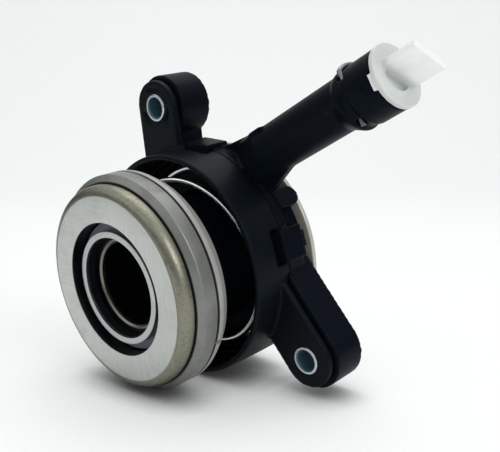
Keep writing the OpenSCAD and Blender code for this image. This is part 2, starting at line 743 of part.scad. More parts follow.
housing();
spring_cup();
upper_bush();
lower_bush();
guide_sleeve();
static_seal();
preload_spring();
piston();
piston_lip_seal();
retaining_ring();
centring_spring();
bearing_carrier();
bearing_race();
bearing_shell();
bearing_split_ring();
bearing_front_seal();
bearing_balls();
bearing_cage();
bearing_contact_ring();
connector_clip();
dust_cap();
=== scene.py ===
"""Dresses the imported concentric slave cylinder: mouldings, turned rings, wire springs, finishes and studio."""

from __future__ import annotations

import json
import logging
import math
from collections.abc import Iterator, Mapping, Sequence
from contextlib import contextmanager
from dataclasses import dataclass
from enum import Enum
from typing import Any

import bmesh
import bpy
from mathutils import Matrix, Vector

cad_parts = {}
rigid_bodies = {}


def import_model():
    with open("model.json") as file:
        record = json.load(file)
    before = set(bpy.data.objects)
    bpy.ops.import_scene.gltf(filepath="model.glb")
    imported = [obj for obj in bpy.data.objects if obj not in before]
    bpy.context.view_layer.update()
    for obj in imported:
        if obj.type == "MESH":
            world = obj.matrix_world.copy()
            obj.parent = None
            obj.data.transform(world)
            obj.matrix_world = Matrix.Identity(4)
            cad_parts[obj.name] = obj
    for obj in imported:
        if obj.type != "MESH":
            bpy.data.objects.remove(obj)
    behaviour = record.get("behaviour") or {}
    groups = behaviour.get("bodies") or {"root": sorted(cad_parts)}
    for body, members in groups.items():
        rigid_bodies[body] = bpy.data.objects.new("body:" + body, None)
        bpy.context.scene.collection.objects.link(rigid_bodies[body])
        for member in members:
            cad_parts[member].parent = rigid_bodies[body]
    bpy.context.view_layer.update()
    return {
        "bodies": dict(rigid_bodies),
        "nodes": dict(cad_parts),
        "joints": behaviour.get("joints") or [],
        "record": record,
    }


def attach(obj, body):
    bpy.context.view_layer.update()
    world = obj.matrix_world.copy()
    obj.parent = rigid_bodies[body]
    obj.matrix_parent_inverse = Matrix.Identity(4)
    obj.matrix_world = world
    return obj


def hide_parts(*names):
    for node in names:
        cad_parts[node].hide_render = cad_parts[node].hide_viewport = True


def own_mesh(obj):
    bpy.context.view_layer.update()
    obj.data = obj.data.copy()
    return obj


log = logging.getLogger("slave_cylinder")

Pair = tuple[float, float]
Triple = tuple[float, float, float]
Colour = Triple
Inputs = Mapping[str | int, Any]
Paint = dict[str, Any]
Material = bpy.types.Material
Piece = bpy.types.Object
Socket = bpy.types.NodeSocket

MM = 0.001
WELD = 1e-6
SHARP_ANGLE = math.radians(32)
FINE_TURN = 256
BLACK: Colour = (0.0, 0.0, 0.0)

# Sizes that a shape and its finish share, in millimetres.
OVERALL = 57.5
BOLTS: tuple[Pair, Pair] = ((-12.84, 53.48), (47.144, -28.327))
HOLE_R = 3.5
HOLE_ROUND = 0.5
SLEEVE_FRONT = 6.0
FACE_R = 31.0
FACE_BORE_R = 22.3
SHELL_FRONT = 4.8
SHELL_REAR = 11.6
SPLIT_FRONT = 12.0


class Body(Enum):
    """The bodies of the frame that a piece can ride on."""

    HOUSING = "housing"
    PISTON = "release_piston"
    CONTACT = "contact_ring"
    BALLS = "ball_set"
    CLIP = "clip"
    CAP = "cap"


class Lay(Enum):
    """Which way the fine marks of a metal finish run."""

    TURNED = "round the bore"
    CROSS_GROUND = "straight, in two directions"
    DRAWN = "plain"


@dataclass(frozen=True)
class TubeLine:
    """Line of the inlet tube: its angle from X, and its distance from the bore and its depth in millimetres."""

    angle: float
    offset: float
    depth: float

    def place(self, s: float, depth: float, z: float) -> Vector:
        """Turns a point of the tube's own frame into one of the part's frame.

        Args:
            s: Distance along the tube, in millimetres.
            depth: Depth behind the contact face.
            z: Height over the tube's line.

        Returns:
            The point, in metres.
        """
        a = math.radians(self.angle)
        up = self.offset + z
        x, z = s * math.cos(a) - up * math.sin(a), s * math.sin(a) + up * math.cos(a)
        return Vector((x, depth - OVERALL, z)) * MM


INLET = TubeLine(26.0, 19.4, 45.0)


@dataclass(frozen=True)
class Noise:
    """A kind of noise: waves to the metre, octaves, and the weight of the finer octaves."""

    scale: float
    detail: float
    rough: float = 0.55


PLASTIC_CLOUD = Noise(90.0, 3.0)
PLASTIC_GRAIN = Noise(3200.0, 2.0)
PLASTIC_FIBRES = Noise(900.0, 4.0, 0.7)
PLASTIC_SCUFFS = Noise(260.0, 5.0, 0.65)
STEEL_CLOUD = Noise(150.0, 5.0, 0.6)
TURNED_LINES = Noise(5200.0, 3.0, 0.6)
GROUND_LINES = Noise(3000.0, 3.0, 0.65)
GROUND_PATCHES = Noise(75.0, 2.0)
DRAWN_GRAIN = Noise(2600.0, 2.0)
EDGE_SPECKLE = Noise(900.0, 4.0, 0.7)
EDGE_STREAKS = Noise(1500.0, 4.0, 0.7)
RUBBER_CLOUD = Noise(300.0, 4.0)
RUBBER_SKIN = Noise(2400.0, 2.0)
WAX_HAZE = Noise(160.0, 4.0)
WAX_SKIN = Noise(1400.0, 2.0)
PAPER_SHADE = Noise(9.0, 2.0)


class Graph:
    """A node tree that is written as Python: one method adds any node, and numbers combine by operators."""

    def __init__(self, tree: bpy.types.NodeTree) -> None:
        """Keeps the tree that the nodes go into."""
        self.tree = tree

    def node(self, kind: str, inputs: Inputs | None = None, settings: Paint | None = None) -> bpy.types.Node:
        """Adds one node.

        Args:
            kind: Type of the node, as Blender names it.
            inputs: Values or links for the node's sockets, by name or place.
            settings: Properties of the node, set before its sockets.

        Returns:
            The new node.
        """
        made = self.tree.nodes.new(kind)
        for key, value in (settings or {}).items():
            setattr(made, key, value)
        for key, value in (inputs or {}).items():
            self.feed(made.inputs[key], value)
        return made

    def out(self, kind: str, inputs: Inputs) -> Socket:
        """Adds one node, and gives its first output."""
        return self.node(kind, inputs).outputs[0]

    def feed(self, socket: Socket, value: Any) -> None:
        """Links or sets a socket.

        Args:
            socket: Input of a node.
            value: A value or output of the tree, or a plain number, colour or vector.
        """
        source = value.socket if isinstance(value, Value) else value
        if isinstance(source, Socket):
            self.tree.links.new(source, socket)
        else:
            socket.default_value = source

    def value(self, node: bpy.types.Node, output: str | int = 0) -> Value:
        """Wraps a node's output as a number."""
        return Value(self, node.outputs[output])

    def split(self, vector: Any) -> tuple[Value, Value, Value]:
        """The three numbers of a vector."""
        parts = self.node("ShaderNodeSeparateXYZ", {0: vector})
        return self.value(parts, 0), self.value(parts, 1), self.value(parts, 2)

    def join(self, x: Any, y: Any, z: Any) -> Socket:
        """A vector from three numbers."""
        return self.out("ShaderNodeCombineXYZ", {0: x, 1: y, 2: z})

    def noise(self, place: Any, kind: Noise) -> Value:
        """Noise over a place, about 0.5."""
        sizes = {"Scale": kind.scale, "Detail": kind.detail, "Roughness": kind.rough}
        return self.value(self.node("ShaderNodeTexNoise", {"Vector": place, **sizes}))

    def mix(self, share: Any, first: Any, second: Any) -> Socket:
        """A colour between two colours.

        Args:
            share: Share of the second colour.
            first: Colour at a share of 0.
            second: Colour at a share of 1.

        Returns:
            The mixed colour's socket.
        """
        colours = [(*c, 1.0) if isinstance(c, tuple) else c for c in (first, second)]
        made = self.node("ShaderNodeMix", {0: share, 6: colours[0], 7: colours[1]}, {"data_type": "RGBA"})
        return made.outputs[2]

    def bump(self, height: Any, distance: float) -> Socket:
        """A normal that follows a height from 0 to 1, where 1 stands for a distance in metres."""
        return self.out("ShaderNodeBump", {"Distance": distance, "Height": height})


class Value:
    """A number in a node tree, which combines with others by Python's operators."""

    def __init__(self, graph: Graph, socket: Socket) -> None:
        """Keeps the tree and the socket that gives the number."""
        self.graph = graph
        self.socket = socket

    def _math(self, operation: str, *operands: Any) -> Value:
        """Adds a Math node on some operands."""
        made = self.graph.node("ShaderNodeMath", dict(enumerate(operands)), {"operation": operation})
        return Value(self.graph, made.outputs[0])

    def __add__(self, other: Any) -> Value:
        """Sum."""
        return self._math("ADD", self, other)

    def __sub__(self, other: Any) -> Value:
        """Difference."""
        return self._math("SUBTRACT", self, other)

    def __rsub__(self, other: Any) -> Value:
        """Difference, the other way."""
        return self._math("SUBTRACT", other, self)

    def __mul__(self, other: Any) -> Value:
        """Product."""
        return self._math("MULTIPLY", self, other)

    def __truediv__(self, other: Any) -> Value:
        """Quotient."""
        return self._math("DIVIDE", self, other)

    def sine(self) -> Value:
        """Sine of an angle in radians."""
        return self._math("SINE", self)

    def cosine(self) -> Value:
        """Cosine of an angle in radians."""
        return self._math("COSINE", self)

    def size(self) -> Value:
        """The number without its sign."""
        return self._math("ABSOLUTE", self)

    def least(self, other: Any) -> Value:
        """The smaller of two numbers."""
        return self._math("MINIMUM", self, other)

    def length(self, other: Value) -> Value:
        """Length of the longest side of a right triangle, whose short sides are the two numbers."""
        return self._math("SQRT", self * self + other * other)

    def sway(self, amount: float) -> Value:
        """Noise about 0.5, turned into a change about 0."""
        return (self - 0.5) * amount

    def ramp(self, start: float, end: float) -> Value:
        """Smooth step of the number.

        Args:
            start: Number that gives 0.
            end: Number that gives 1.

        Returns:
            The step.
        """
        limits = {"From Min": start, "From Max": end, "To Min": 0.0, "To Max": 1.0}
        smooth = {"interpolation_type": "SMOOTHSTEP"}
        return self.graph.value(self.graph.node("ShaderNodeMapRange", {"Value": self, **limits}, smooth))

    def ramp_mm(self, start: float, end: float) -> Value:
        """Smooth step of a length in metres, between limits in millimetres."""
        return self.ramp(start * MM, end * MM)

    def clamp(self) -> Value:
        """The number, held between 0 and 1."""
        limits = {"Min": 0.0, "Max": 1.0}
        return Value(self.graph, self.graph.out("ShaderNodeClamp", {"Value": self, **limits}))


def blank(owner: Material | bpy.types.World) -> Graph:
    """Empties the node tree of a material or world.

    Args:
        owner: The material or world.

    Returns:
        Its tree, without nodes.
    """
    owner.use_nodes = True
    owner.node_tree.nodes.clear()
    return Graph(owner.node_tree)


@dataclass(frozen=True)
class Finish:
    """A surface finish: a name, a colour, and what it paints on the shader's sockets."""

    name: str
    colour: Colour
    roughness: float

    def paint(self, graph: Graph, place: Socket) -> Paint:
        """The shader's inputs.

        Args:
            graph: Tree of the material.
            place: Object coordinates, in metres.

        Returns:
            Values or links by the name of the shader's socket.
        """
        return {"Base Color": (*self.colour, 1.0), "Roughness": self.roughness}

    def material(self) -> Material:
        """Makes the finish.

        Returns:
            A new material.
        """
        made = bpy.data.materials.new(self.name)
        graph = blank(made)
        place = graph.node("ShaderNodeTexCoord").outputs["Object"]
        shader = graph.out("ShaderNodeBsdfPrincipled", self.paint(graph, place))
        graph.node("ShaderNodeOutputMaterial", {"Surface": shader})
        return made


@dataclass(frozen=True)
class MouldedPlastic(Finish):
    """Glass-filled nylon from a spark-eroded mould: a fine grain, cloudy gloss and pale scuffs."""

    grain: float = 0.00002
    scuff: Colour = (0.03, 0.034, 0.04)
    shine: float = 0.16
    tint: Colour = (0.72, 0.88, 1.0)
    scuff_range: Pair = (0.66, 0.8)
    scuff_share: float = 0.35
    fibre_share: float = 0.12
    fibre_relief: float = 0.3
    cloud_gloss: float = 0.22
    fibre_gloss: float = 0.1

    def paint(self, graph: Graph, place: Socket) -> Paint:
        """Paints the grain, the cloudy gloss and the scuffs.

        Args:
            graph: Tree of the material.
            place: Object coordinates, in metres.

        Returns:
            Values or links by the name of the shader's socket.
        """
        cloud = graph.noise(place, PLASTIC_CLOUD)
        grain = graph.noise(place, PLASTIC_GRAIN)
        fibres = graph.noise(place, PLASTIC_FIBRES)
        scuffed = graph.noise(place, PLASTIC_SCUFFS).ramp(*self.scuff_range) * self.scuff_share
        height = grain * (1.0 - self.fibre_relief) + fibres * self.fibre_relief
        return {
            "Base Color": graph.mix(scuffed + fibres.sway(self.fibre_share), self.colour, self.scuff),
            "Roughness": cloud.sway(self.cloud_gloss) + fibres.sway(self.fibre_gloss) + self.roughness,
            "Specular IOR Level": self.shine,
            "Specular Tint": (*self.tint, 1.0),
            "Normal": graph.bump(height, self.grain),
        }


@dataclass(frozen=True)
class Steel(Finish):
    """Steel with fine marks from its machining, and a cloudy stain."""

    stain: Colour = (0.2, 0.19, 0.16)
    lay: Lay = Lay.TURNED
    marks: float = 0.000006
    stained: float = 0.25
    contrast: float = 0.5
    metal: float = 1.0
    stain_range: Pair = (0.45, 0.75)
    stain_base: float = 0.1
    cloud_gloss: float = 0.16
    line_gloss: float = 0.22
    turned_drift: float = 0.004
    ground_stretch: float = 0.035
    ground_patch: Pair = (0.4, 0.6)

    def lines(self, graph: Graph, place: Socket) -> Value:
        """Height of the fine marks, from 0 to 1.

        Args:
            graph: Tree of the material.
            place: Object coordinates, in metres.

        Returns:
            The height.
        """
        x, y, z = graph.split(place)
        if self.lay is Lay.TURNED:
            return graph.noise(graph.join(x.length(z), y, x * self.turned_drift), TURNED_LINES)
        if self.lay is Lay.CROSS_GROUND:
            level = graph.noise(graph.join(x * self.ground_stretch, y, z), GROUND_LINES)
            upright = graph.noise(graph.join(x, y, z * self.ground_stretch), GROUND_LINES)
            patch = graph.noise(place, GROUND_PATCHES).ramp(*self.ground_patch)
            return level * patch + upright * (1.0 - patch)
        return graph.noise(place, DRAWN_GRAIN)

    def paint(self, graph: Graph, place: Socket) -> Paint:
        """Paints the marks and the stain.

        Args:
            graph: Tree of the material.
            place: Object coordinates, in metres.

        Returns:
            Values or links by the name of the shader's socket.
        """
        lines = self.lines(graph, place)
        cloud = graph.noise(place, STEEL_CLOUD)
        share = cloud.ramp(*self.stain_range) * self.stained + lines.sway(self.contrast) + self.stain_base
        return {
            "Base Color": graph.mix(share.clamp(), self.colour, self.stain),
            "Metallic": self.metal,
            "Roughness": cloud.sway(self.cloud_gloss) + lines.sway(self.line_gloss) + self.roughness,
            "Normal": graph.bump(lines, self.marks),
        }


@dataclass(frozen=True)
class SeamShadedSteel(Steel):
    """Steel with painted shade along the seams where it meets its neighbours, each with its depth and reach."""

    seams: tuple[Pair, ...] = ()
    # Painted shade: a dark colour, its share, and how much of each seam's reach is darkest.
    painted_seam_shade: Colour = (0.012, 0.012, 0.012)
    painted_seam_shade_share: float = 0.9
    painted_seam_shade_core: float = 0.7

    def paint(self, graph: Graph, place: Socket) -> Paint:
        """Adds the painted seam shade to the steel.

        Args:
            graph: Tree of the material.
            place: Object coordinates, in metres.

        Returns:
            Values or links by the name of the shader's socket.
        """
        made = super().paint(graph, place)
        _, y, _ = graph.split(place)
        # Painted shade: the base colour darkens along each seam, most at its middle.
        for depth, reach in self.seams:
            off = (y - (depth - OVERALL) * MM).size()
            near = 1.0 - off.ramp_mm(reach * self.painted_seam_shade_core, reach)
            made["Base Color"] = graph.mix(near * self.painted_seam_shade_share, made["Base Color"], self.painted_seam_shade)
        return made


@dataclass(frozen=True)
class ContactSteel(Steel):
    """Ground face with an as-hardened, brownish round edge that shows dark streaks, and painted shade in its
    bore.
    """

    edge: Colour = (0.25, 0.246, 0.196)
    streak: Colour = (0.1, 0.095, 0.07)
    # Painted shade: colour of the bore's wall, and the radii where it starts.
    bore_shade: Colour = (0.03, 0.032, 0.036)
    edge_from: Pair = (FACE_R - 0.1, FACE_R + 0.3)
    bore_shade_to: Pair = (FACE_BORE_R + 0.1, FACE_BORE_R + 0.25)
    speckle_range: Pair = (0.5, 0.72)
    streak_range: Pair = (0.5, 0.75)
    streak_drift: float = 0.1
    dark_share: float = 0.6
    edge_gloss: float = 0.3
    edge_dulling: float = 0.05

    def paint(self, graph: Graph, place: Socket) -> Paint:
        """Adds the round edge and the painted shade in the bore to the ground face.

        Args:
            graph: Tree of the material.
            place: Object coordinates, in metres.

        Returns:
            Values or links by the name of the shader's socket.
        """
        made = super().paint(graph, place)
        x, y, z = graph.split(place)
        radius = x.length(z)
        outside = radius.ramp_mm(*self.edge_from)
        speckle = graph.noise(place, EDGE_SPECKLE)
        streaks = graph.noise(graph.join(radius, y, x * self.streak_drift), EDGE_STREAKS)
        dark = (speckle.ramp(*self.speckle_range) + streaks.ramp(*self.streak_range)) * self.dark_share
        edge = graph.mix(dark.clamp(), self.edge, self.streak)
        # Painted shade: the bore's wall is darkened to near black.
        inside = 1.0 - radius.ramp_mm(*self.bore_shade_to)
        made["Base Color"] = graph.mix(inside, graph.mix(outside, made["Base Color"], edge), self.bore_shade)
        made["Roughness"] += outside * (speckle.sway(self.edge_gloss) + self.edge_dulling)
        return made


@dataclass(frozen=True)
class SleeveSteel(Steel):
    """Pressed steel sleeve: pale beige flange, dull tube and painted shade in the bore behind a plain band at its
    front end.
    """

    # Painted shade: colour of the bore, the radii it covers, and the depths where it starts.
    bore_shade: Colour = (0.012, 0.014, 0.016)
    tube: Colour = (0.2, 0.193, 0.17)
    bore_shade_to: Pair = (14.44, 14.56)
    bore_shade_from: Pair = (SLEEVE_FRONT + 1.4 - OVERALL, SLEEVE_FRONT + 2.0 - OVERALL)
    tube_to: Pair = (-4.0, -2.5)
    dullness: float = 0.7
    bore_shade_dulling: float = 0.12

    def paint(self, graph: Graph, place: Socket) -> Paint:
        """Adds the dull tube and the painted shade in the bore to the flange's steel.

        Args:
            graph: Tree of the material.
            place: Object coordinates, in metres.

        Returns:
            Values or links by the name of the shader's socket.
        """
        made = super().paint(graph, place)
        x, y, z = graph.split(place)
        # Painted shade: the bore darkens from a little behind its front end, and is a little rougher there.
        inside = (1.0 - x.length(z).ramp_mm(*self.bore_shade_to)) * y.ramp_mm(*self.bore_shade_from)
        forward = 1.0 - y.ramp_mm(*self.tube_to)
        plain = graph.mix(forward, made["Base Color"], self.tube)
        made["Base Color"] = graph.mix(inside, plain, self.bore_shade)
        made["Metallic"] = forward * self.dullness + (1.0 - self.dullness)
        made["Roughness"] += inside * self.bore_shade_dulling
        return made


@dataclass(frozen=True)
class BushZinc(Steel):
    """Zinc-plated bush, dull blue-grey in its hole."""

    hole: Colour = (0.05, 0.115, 0.155)
    hole_to: Pair = (HOLE_R + HOLE_ROUND - 0.15, HOLE_R + HOLE_ROUND + 0.02)
    dullness: float = 0.75

    def paint(self, graph: Graph, place: Socket) -> Paint:
        """Adds the dull holes to the zinc.

        Args:
            graph: Tree of the material.
            place: Object coordinates, in metres.

        Returns:
            Values or links by the name of the shader's socket.
        """
        made = super().paint(graph, place)
        x, _, z = graph.split(place)
        upper, lower = ((x - a * MM).length(z - b * MM) for a, b in BOLTS)
        inside = 1.0 - upper.least(lower).ramp_mm(*self.hole_to)
        made["Base Color"] = graph.mix(inside, made["Base Color"], self.hole)
        made["Metallic"] = 1.0 - inside * self.dullness
        return made


@dataclass(frozen=True)
class Rubber(Finish):
    """Black rubber with a dusty, uneven skin."""

    dust: Colour = (0.045, 0.045, 0.045)
    dust_range: Pair = (0.4, 0.8)
    cloud_gloss: float = 0.2
    skin: float = 0.00002

    def paint(self, graph: Graph, place: Socket) -> Paint:
        """Paints the dust and the skin.

        Args:
            graph: Tree of the material.
            place: Object coordinates, in metres.

        Returns:
            Values or links by the name of the shader's socket.
        """
        cloud = graph.noise(place, RUBBER_CLOUD)
        return {
            "Base Color": graph.mix(cloud.ramp(*self.dust_range), self.colour, self.dust),
            "Roughness": cloud.sway(self.cloud_gloss) + self.roughness,
            "Normal": graph.bump(graph.noise(place, RUBBER_SKIN), self.skin),
        }


@dataclass(frozen=True)
class Polythene(Finish):
    """Translucent white polythene, waxy and a little cloudy, with painted shade on its rim, painted light on its
    dish and grip, and a painted glow in the dish.
    """

    # Painted shade on the rim and painted light on the dish; the grip takes the lighter base colour as painted
    # light, and the dish a painted glow.
    painted_shade_rim: Colour = (0.66, 0.685, 0.68)
    painted_light_dish: Colour = (0.8, 0.83, 0.82)
    painted_dish_glow: Colour = (0.1, 0.106, 0.103)
    dish_s: Pair = (97.5, 99.6)
    grip_s: Pair = (101.0, 104.0)
    cloudy: float = 0.85
    haze_range: Pair = (0.35, 0.75)
    haze_share: float = 0.3
    haze_gloss: float = 0.14
    clearness: float = 0.25
    scatter: float = 0.35
    scatter_reach: float = 0.004
    refraction: float = 1.45
    skin: float = 0.00002

    def paint(self, graph: Graph, place: Socket) -> Paint:
        """Paints the haze, and the painted light and shade of the rim, the dish and the grip.

        Args:
            graph: Tree of the material.
            place: Object coordinates, in metres.

        Returns:
            Values or links by the name of the shader's socket.
        """
        haze = graph.noise(place, WAX_HAZE)
        x, _, z = graph.split(place)
        a = math.radians(INLET.angle)
        along = x * math.cos(a) + z * math.sin(a)
        # Painted light and shade by zone: darker rim, lighter dish, lightest grip.
        out_of_dish = along.ramp_mm(*self.dish_s)
        shade = graph.mix(out_of_dish, self.painted_light_dish, self.painted_shade_rim)
        clear = graph.mix(along.ramp_mm(*self.grip_s), shade, self.colour)
        cloud = tuple(c * self.cloudy for c in self.painted_shade_rim)
        return {
            "Base Color": graph.mix(haze.ramp(*self.haze_range) * self.haze_share, clear, cloud),
            "Roughness": haze.sway(self.haze_gloss) + self.roughness,
            "Transmission Weight": self.clearness,
            "Subsurface Weight": self.scatter,
            "Subsurface Scale": self.scatter_reach,
            "IOR": self.refraction,
            # Painted light: the dish glows, though no lamp is there.
            "Emission Color": graph.mix(out_of_dish, self.painted_dish_glow, BLACK),
            "Emission Strength": 1.0,
            "Normal": graph.bump(graph.noise(place, WAX_SKIN), self.skin),
        }


BLACK_MOULDING = MouldedPlastic("black_moulding", (0.002, 0.0035, 0.0065), 0.42, shine=0.055)
CUP_MOULDING = MouldedPlastic("cup_moulding", (0.0025, 0.004, 0.006), 0.44, shine=0.085)
PISTON_PLASTIC = MouldedPlastic("piston_plastic", (0.002, 0.0025, 0.003), 0.36, grain=0.000008, shine=0.04)
CARRIER_PLASTIC = MouldedPlastic("carrier_plastic", (0.16, 0.175, 0.21), 0.42, grain=0.000006, shine=0.2)
CAGE_PLASTIC = MouldedPlastic("cage_plastic", (0.2, 0.15, 0.09), 0.45, scuff=(0.3, 0.24, 0.15))
ZINC = BushZinc("zinc_bush", (0.6, 0.62, 0.65), 0.28, stain=(0.42, 0.47, 0.54), stained=0.4)
SLEEVE_STEEL = SleeveSteel("sleeve_steel", (0.52, 0.505, 0.455), 0.34, stain=(0.33, 0.31, 0.25), stained=0.6)
SEAL_RUBBER = Rubber("seal_rubber", (0.012, 0.012, 0.013), 0.55)
SPRING_WIRE = Steel("spring_wire", (0.9, 0.9, 0.89), 0.2, lay=Lay.DRAWN, stained=0.15)
CLIP_WIRE = Steel("clip_wire", (0.2, 0.205, 0.21), 0.32, lay=Lay.DRAWN, stained=0.3)
RING_STEEL = Steel("ring_steel", (0.46, 0.48, 0.48), 0.34, stain=(0.3, 0.31, 0.31))
RACE_STEEL = Steel("race_steel", (0.55, 0.55, 0.54), 0.25)
BALL_STEEL = Steel("ball_steel", (0.68, 0.68, 0.68), 0.08, lay=Lay.DRAWN, marks=0.0, stained=0.05)
SHELL_STEEL = SeamShadedSteel(
    "shell_steel",
    (0.235, 0.24, 0.23),
    0.46,
    stain=(0.13, 0.13, 0.125),
    stained=0.5,
    metal=0.8,
    seams=((SHELL_FRONT, 0.2), (SHELL_REAR, 0.35)),
)
SPLIT_STEEL = SeamShadedSteel(
    "split_ring_steel",
    (0.36, 0.36, 0.346),
    0.5,
    stain=(0.27, 0.27, 0.25),
    stained=0.4,
    metal=0.5,
    seams=((SPLIT_FRONT, 0.4),),
)
CONTACT_STEEL = ContactSteel(
    "contact_steel",
    (0.52, 0.53, 0.51),
    0.36,
    stain=(0.34, 0.345, 0.33),
    lay=Lay.CROSS_GROUND,
    marks=0.00001,
    contrast=1.5,
)
CAP_POLYTHENE = Polythene("cap_plastic", (0.95, 0.97, 0.97), 0.38)


class Dresser:
    """Puts finished pieces on the frame: material, body and the node that a piece stands for."""

    def __init__(self, frame: Mapping[str, Any]) -> None:
        """Keeps the frame's nodes and the materials that are made so far."""
        self.nodes: Mapping[str, Piece] = frame["nodes"]
        self.made: dict[str, Material] = {}

    def material(self, finish: Finish) -> Material:
        """Finds or makes a finish's material.

        Args:
            finish: The finish.

        Returns:
            Its material, made once.
        """
        if finish.name not in self.made:
            self.made[finish.name] = finish.material()
        return self.made[finish.name]

    def coat(self, shown: Piece, finish: Finish) -> None:
        """Gives an object the finish as its only material."""
        shown.data.materials.clear()
        shown.data.materials.append(self.material(finish))

    def paint_node(self, node: str, finish: Finish) -> None:
        """Gives a node of the frame a finish.

        Args:
            node: Name of the node.
            finish: Finish for all of it.
        """
        self.coat(self.nodes[node], finish)
        log.info("node %s takes the finish %s", node, finish.name)

    def fit(self, piece: Piece, node: str, body: Body, finish: Finish) -> None:
        """Puts a new piece in place of a node.

        Args:
            piece: The piece, with its place in its mesh.
            node: Node that the piece stands for.
            body: Body that it rides on.
            finish: Finish for all of it.
        """
        self.coat(piece, finish)
        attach(piece, body.value)
        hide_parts(node)
        log.info("piece %s replaces %s, with %d faces", piece.name, node, len(piece.data.polygons))


def new_object(name: str, data: bpy.types.ID) -> Piece:
    """Links data into the scene as an object at the origin.

    Args:
        name: Name of the object.
        data: Its mesh, lamp or camera.

    Returns:
        The object.
    """
    made = bpy.data.objects.new(name, data)
    bpy.context.scene.collection.objects.link(made)
    return made


def settle(piece: Piece) -> Piece:
    """Applies a piece's modifiers.

    Args:
        piece: The piece, which is changed.

    Returns:
        The same piece, with a plain mesh.
    """
    bpy.context.view_layer.update()
    graph = bpy.context.evaluated_depsgraph_get()
    plain = bpy.data.meshes.new_from_object(piece.evaluated_get(graph))
    piece.modifiers.clear()
    piece.data = plain
    return piece


@contextmanager
def editing(mesh: bpy.types.Mesh) -> Iterator[bmesh.types.BMesh]:
    """Opens a mesh for changes, and writes them back at the end.

    Args:
        mesh: The mesh.

    Yields:
        The mesh in a form that can be changed.
    """
    opened = bmesh.new()
    opened.from_mesh(mesh)
    yield opened
    opened.to_mesh(mesh)
    opened.free()


@dataclass(frozen=True)
class Corner:
    """A corner of a half section: radius and depth behind the contact face, with a round, in millimetres."""

    r: float
    depth: float
    round: float = 0.0


def rounded(corners: Sequence[Corner], steps: int = 5) -> list[Pair]:
    """Half section with its corners rounded.

    Args:
        corners: Corners in order.
        steps: Steps on each round.

    Returns:
        Points as radius and place along Y, in metres.
    """
    points: list[Vector] = []
    spots = [Vector((corner.r, corner.depth - OVERALL)) for corner in corners]
    for i, corner in enumerate(corners):
        here = spots[i]
        if corner.round <= 0.0:
            points.append(here)
            continue
        before = (spots[i - 1] - here).normalized()
        after = (spots[(i + 1) % len(spots)] - here).normalized()
        half = before.angle(after) / 2
        reach = corner.round / math.tan(half)
        centre = here + (before + after).normalized() * corner.round / math.sin(half)
        start, end = here + before * reach - centre, here + after * reach - centre
        turn = start.angle_signed(end)
        points += [centre + Matrix.Rotation(-turn * k / steps, 2) @ start for k in range(steps + 1)]
    return [(point.x * MM, point.y * MM) for point in points]


def lathe(
    name: str,
    corners: Sequence[Corner],
    segments: int = 192,
    centre: Pair = (0.0, 0.0),
    gap: Pair | None = None,
) -> Piece:
    """Turned ring about an axis along Y.

    Args:
        name: Name of the piece.
        corners: Half section.
        segments: Steps round the axis.
        centre: Where the axis stands, X and Z in millimetres.
        gap: Angle of the middle of a gap and its width, in degrees, for a split ring.

    Returns:
        The ring, smooth but for its sharp corners.
    """
    section = rounded(corners)
    start, sweep = (0.0, 360.0) if gap is None else (gap[0] + gap[1] / 2, 360.0 - gap[1])
    rows = segments if gap is None else segments + 1
    mesh = bpy.data.meshes.new(name)
    with editing(mesh) as made:
        rings = []
        for i in range(rows):
            a = math.radians(start + sweep * i / segments)
            spots = [(centre[0] * MM + r * math.cos(a), y, centre[1] * MM + r * math.sin(a)) for r, y in section]
            rings.append([made.verts.new(spot) for spot in spots])
        for i in range(segments):
            here, there = rings[i], rings[(i + 1) % rows]
            for j in range(len(section)):
                k = (j + 1) % len(section)
                made.faces.new((here[j], here[k], there[k], there[j]))
        if gap is not None:
            made.faces.new(rings[0])
            made.faces.new(list(reversed(rings[-1])))
        bmesh.ops.recalc_face_normals(made, faces=made.faces)
    mesh.shade_smooth()
    mesh.set_sharp_from_angle(angle=SHARP_ANGLE)
    return new_object(name, mesh)


@dataclass(frozen=True)
class Softening:
    """How a sharp solid is turned into a moulding with rounded edges and filleted corners."""

    voxel: float
    passes: int
    keep: float
    strength: float = 0.5

    def apply(self, node: Piece, name: str, cutter: Piece | None = None, added: Sequence[Vector] = ()) -> Piece:
        """Makes a softened copy of a node.

        Args:
            node: Node of the frame, which is left alone.
            name: Name of the copy.
            cutter: Shape that is first cut from it, and then deleted.
            added: Corners of a solid that is then joined to it, as their hull.

        Returns:
            The copy, with a plain mesh.
        """
        mesh = node.data.copy()
        with editing(mesh) as made:
            bmesh.ops.remove_doubles(made, verts=made.verts, dist=WELD)
        piece = new_object(name, mesh)
        if cutter is not None:
            cut = piece.modifiers.new("cut", "BOOLEAN")
            cut.operation = "DIFFERENCE"
            cut.object = cutter
            settle(piece)
            bpy.data.objects.remove(cutter)
        if added:
            with editing(piece.data) as made:
                bmesh.ops.convex_hull(made, input=[made.verts.new(corner) for corner in added])
        skin = piece.modifiers.new("skin", "REMESH")
        skin.mode = "VOXEL"
        skin.voxel_size = self.voxel * MM
        soft = piece.modifiers.new("fillets", "SMOOTH")
        soft.factor = self.strength
        soft.iterations = self.passes
        piece.modifiers.new("thin", "DECIMATE").ratio = self.keep
        settle(piece)
        piece.data.shade_smooth()
        piece.modifiers.new("normals", "WEIGHTED_NORMAL").keep_sharp = True
        return settle(piece)


